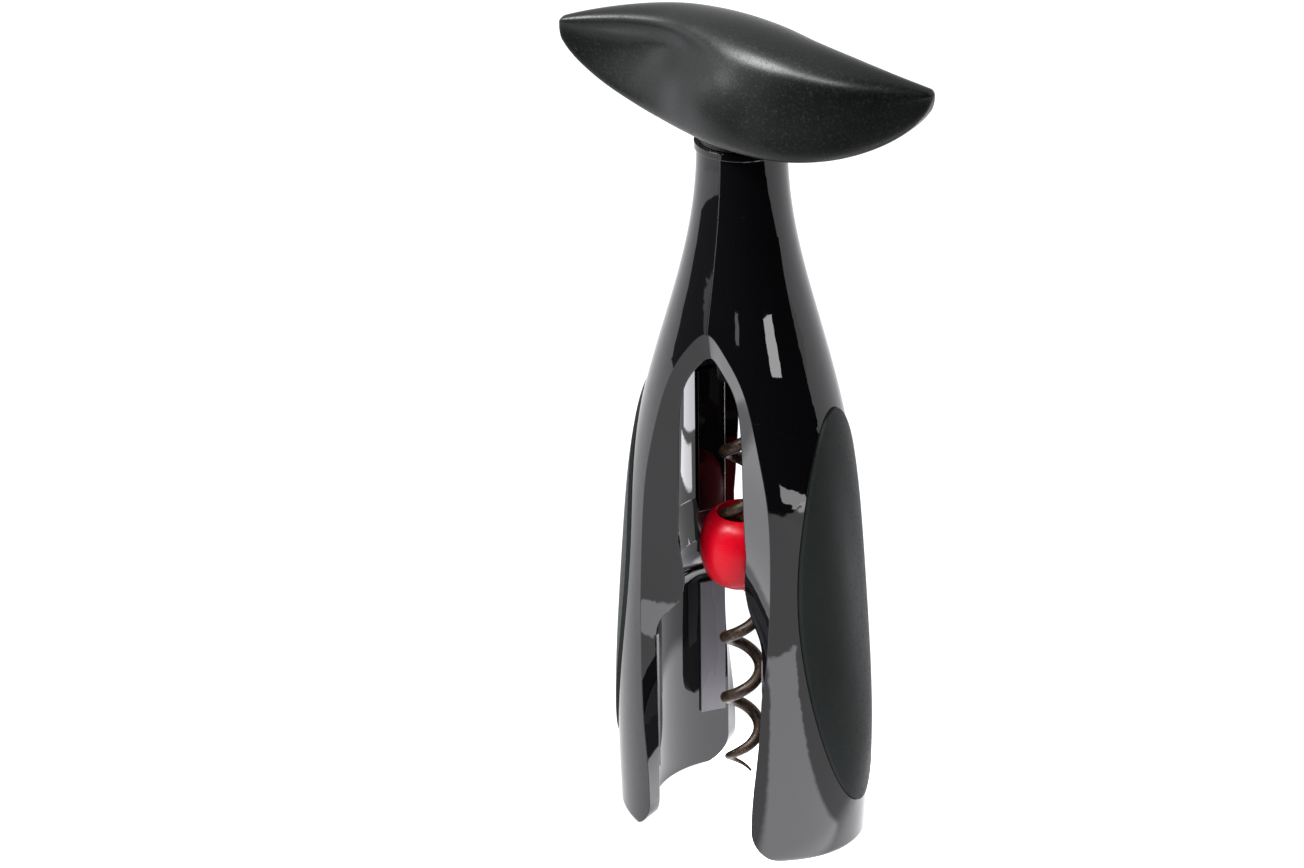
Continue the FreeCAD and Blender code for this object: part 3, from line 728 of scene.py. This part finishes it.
@dataclass
class NeckFittings:
    """Bush, lift collar, stem and small steel pieces in and on the neck."""

    bush: SatinMould = field(default_factory=lambda: SatinMould(
        base=(0.045, 0.045, 0.045), light=(0.060, 0.060, 0.060)))
    collar: SatinMould = field(default_factory=lambda: SatinMould(
        base=(0.050, 0.052, 0.052), light=(0.075, 0.077, 0.077), roughness=0.4))
    stem: SatinMould = field(default_factory=lambda: SatinMould(
        base=(0.012, 0.012, 0.012), light=(0.020, 0.020, 0.020), roughness=0.22))
    steel: BrightSteel = field(default_factory=BrightSteel)

    def dress(self, frame: dict) -> None:
        """Finish the fittings.

        Args:
            frame: The loaded frame.
        """
        dress(frame, ["neck_bush"], self.bush.material("bush_plastic"))
        dress(frame, ["lift_collar"], self.collar.material("collar_satin"))
        dress(frame, ["hub_stem"], self.stem.material("stem_smooth"))
        dress(frame, ["snap_ring", "handle_pin"], self.steel.material("bright_steel"))


@dataclass(frozen=True)
class Level:
    """One level of the handle's skin: its front line from the left tip to the right one."""

    front: tuple[float, ...]
    drop: float = 0.0
    rise: float = 0.0


@dataclass(frozen=True)
class SkinForm:
    """Outer form of the handle. Its rear is its front turned half round, so each level gives
    the front line alone, in millimetres at the stations, with its drop from the top or its
    rise from the bottom. The crown swells and the belly hangs by powers of the share of the
    half length. Each control point gives as many points of a section as around says, and along
    is the number of steps between the rounded ends."""

    half_length: float = 40.0 * MM
    floor: float = 145.36 * MM
    height: float = 22.4 * MM
    tip_rise: float = 14.1 * MM
    tip_half: float = 0.9 * MM
    round_from: float = 0.975
    end_parts: tuple[float, ...] = (0.0, 0.02, 0.1, 0.25, 0.5, 0.75)
    end_area: float = 0.004
    swell_power: float = 0.85
    belly_power: float = 3.4
    belly_root: float = 2.0 / 3.0
    stations: tuple[float, ...] = (-1.0, -0.82, -0.62, -0.4, -0.2, 0.0, 0.2, 0.4, 0.62, 0.82, 1.0)
    levels: tuple[Level, ...] = (
        Level((0.8, 1.2, 0.7, -0.6, -3.2, -5.3, -7.1, -8.2, -7.6, -5.6, -2.8), drop=1.7),
        Level((0.6, 0.8, 0.2, -1.6, -4.8, -8.0, -10.1, -11.0, -9.8, -6.8, -3.1), drop=3.9),
        Level((0.6, 1.0, 0.8, -0.9, -5.0, -9.0, -11.1, -11.7, -10.3, -7.1, -3.1), drop=6.0),
        Level((0.6, 1.4, 1.6, -0.3, -5.3, -10.0, -11.6, -12.0, -10.5, -7.1, -3.0), drop=7.8),
        Level((0.6, 1.4, 1.2, -2.8, -8.9, -12.9, -13.1, -12.7, -10.9, -7.1, -3.0), rise=9.8),
        Level((0.6, 0.3, -1.65, -5.3, -9.2, -12.9, -14.6, -14.6, -11.8, -7.3, -3.0), rise=0.65),
    )
    sole_share: float = 0.7
    around: int = 7
    along: int = 96

    def slope(self, values: tuple[float, ...], spot: int) -> float:
        """Slope of a line at a station, from the stations beside it.

        Args:
            values: Values at the stations.
            spot: Number of the station.

        Returns:
            The change of the value over the whole half length.
        """
        low, high = max(spot - 1, 0), min(spot + 1, len(values) - 1)
        return (values[high] - values[low]) / (self.stations[high] - self.stations[low])

    def drawn(self, values: tuple[float, ...], share: float) -> float:
        """Value of a line at a share of the half length, smooth through its stations.

        Args:
            values: Values at the stations, in millimetres.
            share: Share of the half length, from -1 to 1.

        Returns:
            The value in metres.
        """
        spots = self.stations
        passed = sum(1 for spot in spots if spot <= share) - 1
        index = min(max(passed, 0), len(spots) - 2)
        width = spots[index + 1] - spots[index]
        part = (share - spots[index]) / width
        square, cube = part ** 2, part ** 3
        return MM * ((2 * cube - 3 * square + 1) * values[index]
                     + (cube - 2 * square + part) * width * self.slope(values, index)
                     + (3 * square - 2 * cube) * values[index + 1]
                     + (cube - square) * width * self.slope(values, index + 1))

    def poles(self, share: float) -> list[tuple[float, float]]:
        """Control points of the section, from the crown over the rear to the front.

        Args:
            share: Share of the half length, from -1 to 1.

        Returns:
            Their Y and Z in metres.
        """
        swell = max(0.0, math.cos(math.pi * share / 2))
        belly = (1 - abs(share) ** self.belly_power) ** self.belly_root
        tip_z = self.floor + self.tip_rise
        bottom = tip_z - self.tip_half - (self.tip_rise - self.tip_half) * belly
        tip_top = tip_z + self.tip_half
        top = tip_top + (self.floor + self.height - tip_top) * swell ** self.swell_power
        tall = (top - bottom) / self.height
        heights = [top - level.drop * MM * tall if level.drop else
                   bottom + level.rise * MM * tall for level in self.levels]
        rear = [-self.drawn(level.front, -share) for level in self.levels]
        front = [self.drawn(level.front, share) for level in self.levels]
        middle = (rear[-1] + front[-1]) / 2
        soles = [middle + self.sole_share * (side[-1] - middle) for side in (rear, front)]
        crown = (rear[0] + front[0]) / 2
        return ([(crown, top)] + list(zip(rear, heights)) + [(soles[0], bottom),
                (middle, bottom), (soles[1], bottom)] + list(zip(front, heights))[::-1])

    def section(self, share: float) -> list[Vector]:
        """Points of the section, drawn as a closed cubic curve by its control points.

        Args:
            share: Share of the half length, from -1 to 1.

        Returns:
            The points.
        """
        poles = self.poles(share)
        over = (abs(share) - self.round_from) / (1.0 - self.round_from)
        size = math.sqrt(max(1.0 - max(over, 0.0) ** 2, self.end_area))
        middle = sum((Vector((0.0, y, z)) for y, z in poles), Vector()) / len(poles)
        points = []
        for index in range(len(poles)):
            for step in range(self.around):
                u = step / self.around
                weights = ((1 - u) ** 3, 3 * u ** 3 - 6 * u ** 2 + 4,
                           -3 * u ** 3 + 3 * u ** 2 + 3 * u + 1, u ** 3)
                point = Vector()
                for shift, weight in enumerate(weights, -1):
                    y, z = poles[(index + shift) % len(poles)]
                    point += Vector((0.0, y, z)) * weight / 6
                point = middle + (point - middle) * size
                points.append(point + Vector((share * self.half_length, 0.0, 0.0)))
        return points

    def shares(self) -> list[float]:
        """Places of the sections, close together where the tips round off.

        Returns:
            Shares of the half length, from -1 to 1.
        """
        body = [self.round_from * (2 * step / self.along - 1) for step in range(self.along + 1)]
        ends = [1.0 - (1.0 - self.round_from) * part for part in self.end_parts]
        return [-end for end in ends] + body + ends[::-1]

    def mesh(self, name: str) -> bpy.types.Mesh:
        """Closed mesh of the form.

        Args:
            name: Name of the mesh.

        Returns:
            The mesh, smoothly shaded.
        """
        rows = [self.section(share) for share in self.shares()]
        count = len(rows[0])
        last = (len(rows) - 1) * count
        faces = [(row * count + i, (row + 1) * count + i, (row + 1) * count + (i + 1) % count,
                  row * count + (i + 1) % count)
                 for row in range(len(rows) - 1) for i in range(count)]
        faces += [tuple(range(count)), tuple(range(last, last + count))[::-1]]
        mesh = bpy.data.meshes.new(name)
        mesh.from_pydata([tuple(point) for row in rows for point in row], [], faces)
        mesh.polygons.foreach_set("use_smooth", [True] * len(mesh.polygons))
        return mesh


@dataclass
class Handle:
    """Swept T-handle: inner core and soft skin."""

    skin: SoftTouch = field(default_factory=lambda: SoftTouch(
        base=(0.0008, 0.0011, 0.0010), light=(0.006, 0.007, 0.0068), specular=0.31,
        roughness=0.30, speckle=0.17, grain=0.014 * MM))
    core: SatinMould = field(default_factory=lambda: SatinMould(
        base=(0.060, 0.062, 0.062), light=(0.085, 0.087, 0.087)))
    form: SkinForm = field(default_factory=SkinForm)

    def build_skin(self) -> None:
        """Build the soft skin in its finish, in place of the plain one."""
        mesh = self.form.mesh("handle_soft_skin")
        mesh.materials.append(self.skin.material("handle_soft_touch"))
        skin = bpy.data.objects.new("handle_soft_skin", mesh)
        bpy.context.scene.collection.objects.link(skin)
        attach(skin, "handle")
        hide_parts("handle_skin")
        LOG.info("built %s with %d faces", skin.name, len(mesh.polygons))

    def dress(self, frame: dict) -> None:
        """Build the skin and finish the core.

        Args:
            frame: The loaded frame.
        """
        self.build_skin()
        dress(frame, ["handle_core"], self.core.material("core_satin"))


@dataclass
class WormAndBall:
    """Coated worm with the red ball on it."""

    coat: BronzeCoat = field(default_factory=BronzeCoat)
    red: SatinRed = field(default_factory=SatinRed)

    def dress(self, frame: dict) -> None:
        """Finish the worm and the ball.

        Args:
            frame: The loaded frame.
        """
        dress(frame, ["worm"], self.coat.material("worm_bronze"))
        dress(frame, ["ball"], self.red.material("ball_red"))


@dataclass(frozen=True)
class Softbox:
    """One large soft light panel, placed by its direction from the object."""

    name: str
    azimuth: float
    elevation: float
    distance: float
    width: float
    height: float
    radiance: float

    def hang(self, target: Vector) -> None:
        """Make the panel and point it at the target.

        Args:
            target: Point that the panel faces, in metres.
        """
        away = towards(self.azimuth, self.elevation)
        light = bpy.data.lights.new(self.name, "AREA")
        light.shape = "RECTANGLE"
        light.size = self.width
        light.size_y = self.height
        light.energy = self.radiance * math.pi * self.width * self.height
        lamp_or_painted_pool = bpy.data.objects.new(self.name, light)
        lamp_or_painted_pool.location = target + away * self.distance
        lamp_or_painted_pool.rotation_euler = away.to_track_quat("Z", "Y").to_euler()
        lamp_or_painted_pool.visible_camera = False
        bpy.context.scene.collection.objects.link(lamp_or_painted_pool)


@dataclass(frozen=True)
class Flag:
    """Cloth flag: part of a round wall about the object."""

    name: str
    start: float
    end: float
    distance: float
    bottom: float
    top: float
    tone: float = FELT_TONE
    steps: int = 24

    def mesh(self) -> bpy.types.Mesh:
        """Curved wall between two directions and two heights.

        Returns:
            The mesh.
        """
        low: list[Vector] = []
        for step in range(self.steps + 1):
            turn = self.start + (self.end - self.start) * step / self.steps
            low.append(towards(turn, 0.0) * self.distance + Vector((0.0, 0.0, self.bottom)))
        rise = Vector((0.0, 0.0, self.top - self.bottom))
        high = [point + rise for point in low]
        count = len(low)
        faces = [(i, i + 1, count + i + 1, count + i) for i in range(self.steps)]
        mesh = bpy.data.meshes.new(self.name)
        mesh.from_pydata([tuple(point) for point in low + high], [], faces)
        return mesh


@dataclass(frozen=True)
class Apron:
    """Black cloth on the floor in front of the table."""

    name: str
    start: float
    end: float
    half: float
    tone: float = FELT_TONE
    lift: float = 0.4 * MM

    def mesh(self) -> bpy.types.Mesh:
        """Flat sheet between two distances in front of the object.

        Returns:
            The mesh.
        """
        ahead, aside = towards(PHOTO_AZIMUTH, 0.0), towards(PHOTO_AZIMUTH + 90.0, 0.0)
        corners = [ahead * way + aside * side + Vector((0.0, 0.0, self.lift))
                   for way, side in ((self.start, -self.half), (self.start, self.half),
                                     (self.end, self.half), (self.end, -self.half))]
        mesh = bpy.data.meshes.new(self.name)
        mesh.from_pydata([tuple(corner) for corner in corners], [], [(0, 1, 2, 3)])
        return mesh


@dataclass
class Studio:
    """Light table in a white tent, with black flags that only the gloss sees."""

    floor_half: float = 6.0
    tent: float = 1.0
    target: Vector = field(default_factory=lambda: Vector((0.0, 0.0, 0.085)))
    # Pools of light painted on the table as extra glow, for the gloss to mirror.
    table: LightTable = field(default_factory=lambda: LightTable(painted_pools=(
        PaintedStrip(ahead=(0.022, 0.132), aside=(0.003, 0.0215), radiance=2.9, splay=12.0),
        PaintedPool(x=0.010, y=0.013, radius=0.034, radiance=2.0),
        PaintedStrip(ahead=(-0.045, 0.040), aside=(0.158, 0.194), radiance=9.0),
        PaintedStrip(ahead=(-0.060, 0.000), aside=(0.126, 0.148), radiance=9.0),
        PaintedPool(x=-0.115, y=-0.062, radius=0.036, radiance=1.8),
    )))

    def panels(self) -> tuple[Softbox, ...]:
        """Soft panels on the left, two small windows near the neck and a low card.

        Returns:
            The panels.
        """
        front = PHOTO_AZIMUTH
        return (
            Softbox("panel_left", azimuth=front - 80.0, elevation=46.0, distance=0.9,
                    width=0.40, height=0.38, radiance=32.0),
            Softbox("panel_ridge", azimuth=front - 38.0, elevation=50.0, distance=0.9,
                    width=0.42, height=0.18, radiance=24.0),
            Softbox("panel_low", azimuth=front - 103.0, elevation=13.0, distance=0.9,
                    width=0.14, height=0.16, radiance=3.5),
            Softbox("window_right", azimuth=front + 33.3, elevation=19.3, distance=0.078,
                    width=0.017, height=0.014, radiance=8.0),
            Softbox("window_front", azimuth=front - 10.9, elevation=21.8, distance=0.078,
                    width=0.006, height=0.007, radiance=2.0),
            Softbox("card_low", azimuth=front + 30.0, elevation=-15.8, distance=0.26,
                    width=0.11, height=0.014, radiance=5.0),
        )

    def flags(self) -> tuple[Flag | Apron, ...]:
        """Cloth flags in front of the tent and the apron in front of the table.

        Returns:
            The flags and the apron.
        """
        front = PHOTO_AZIMUTH
        return (
            Flag("flag_front", start=front - 58.0, end=front + 80.0, distance=1.0,
                 bottom=0.001, top=5.0),
            Flag("flag_left", start=front - 107.0, end=front - 54.5, distance=0.42,
                 bottom=0.035, top=0.105, tone=0.08),
            Apron("apron_front", start=0.232, end=1.0, half=1.0),
        )

    def stage(self, name: str, mesh: bpy.types.Mesh,
              material: bpy.types.Material) -> bpy.types.Object:
        """Put a mesh of the studio in the scene.

        Args:
            name: Name of the object.
            mesh: Its mesh.
            material: Its finish.

        Returns:
            The object.
        """
        mesh.materials.append(material)
        thing = bpy.data.objects.new(name, mesh)
        bpy.context.scene.collection.objects.link(thing)
        return thing

    def build(self) -> None:
        """Make the table, the tent, the panels and the flags."""
        half = self.floor_half
        mesh = bpy.data.meshes.new("floor")
        mesh.from_pydata([(-half, -half, 0), (half, -half, 0), (half, half, 0), (-half, half, 0)],
                         [], [(0, 1, 2, 3)])
        self.stage("floor", mesh, self.table.material("light_table"))
        for flag in self.flags():
            cloth = Cloth(flag.tone).material(f"{flag.name}_cloth")
            self.stage(flag.name, flag.mesh(), cloth).visible_camera = False
        for panel in self.panels():
            panel.hang(self.target)
        world = bpy.data.worlds.new("tent")
        world.use_nodes = True
        tent = world.node_tree.nodes["Background"].inputs
        tent["Color"].default_value = (1.0, 1.0, 1.0, 1.0)
        tent["Strength"].default_value = self.tent
        bpy.context.scene.world = world
        bpy.context.scene.view_settings.view_transform = "Standard"


@dataclass
class PhotoCamera:
    """Camera at the photograph's viewing angle."""

    azimuth: float = PHOTO_AZIMUTH
    elevation: float = 25.36
    roll: float = -0.76
    distance: float = 0.731
    focal_pixels: float = 3815.0
    aside: float = -17.36 * MM
    target_height: float = 83.4 * MM
    sensor: float = 36.0
    nearest: float = 10.0 * MM

    def place(self) -> None:
        """Make the camera and set it as the scene's own."""
        back = towards(self.azimuth, self.elevation)
        right = towards(self.azimuth + 90.0, 0.0)
        target = right * self.aside + Vector((0.0, 0.0, self.target_height))
        view = bpy.data.cameras.new("photo_camera")
        view.sensor_width = self.sensor
        view.lens = self.focal_pixels / PHOTO_WIDTH * self.sensor
        view.clip_start = self.nearest
        view.dof.use_dof = False
        camera = bpy.data.objects.new("photo_camera", view)
        camera.location = target + back * self.distance
        look = back.to_track_quat("Z", "Y").to_matrix()
        spin = math.radians(self.roll)
        up = back.cross(right)
        side = right * math.cos(spin) + up * math.sin(spin)
        look.col[0] = side
        look.col[1] = back.cross(side)
        look.col[2] = back
        camera.rotation_euler = look.to_euler()
        bpy.context.scene.collection.objects.link(camera)
        bpy.context.scene.camera = camera


def main() -> None:
    """Dress the corkscrew and set up its studio."""
    logging.basicConfig(level=logging.INFO, format="%(name)s: %(message)s")
    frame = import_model()
    for group in (Housing(), NeckFittings(), Handle(), WormAndBall()):
        group.dress(frame)
        LOG.info("finished %s", type(group).__name__)
    Studio().build()
    PhotoCamera().place()


if __name__ == "__main__":
    main()
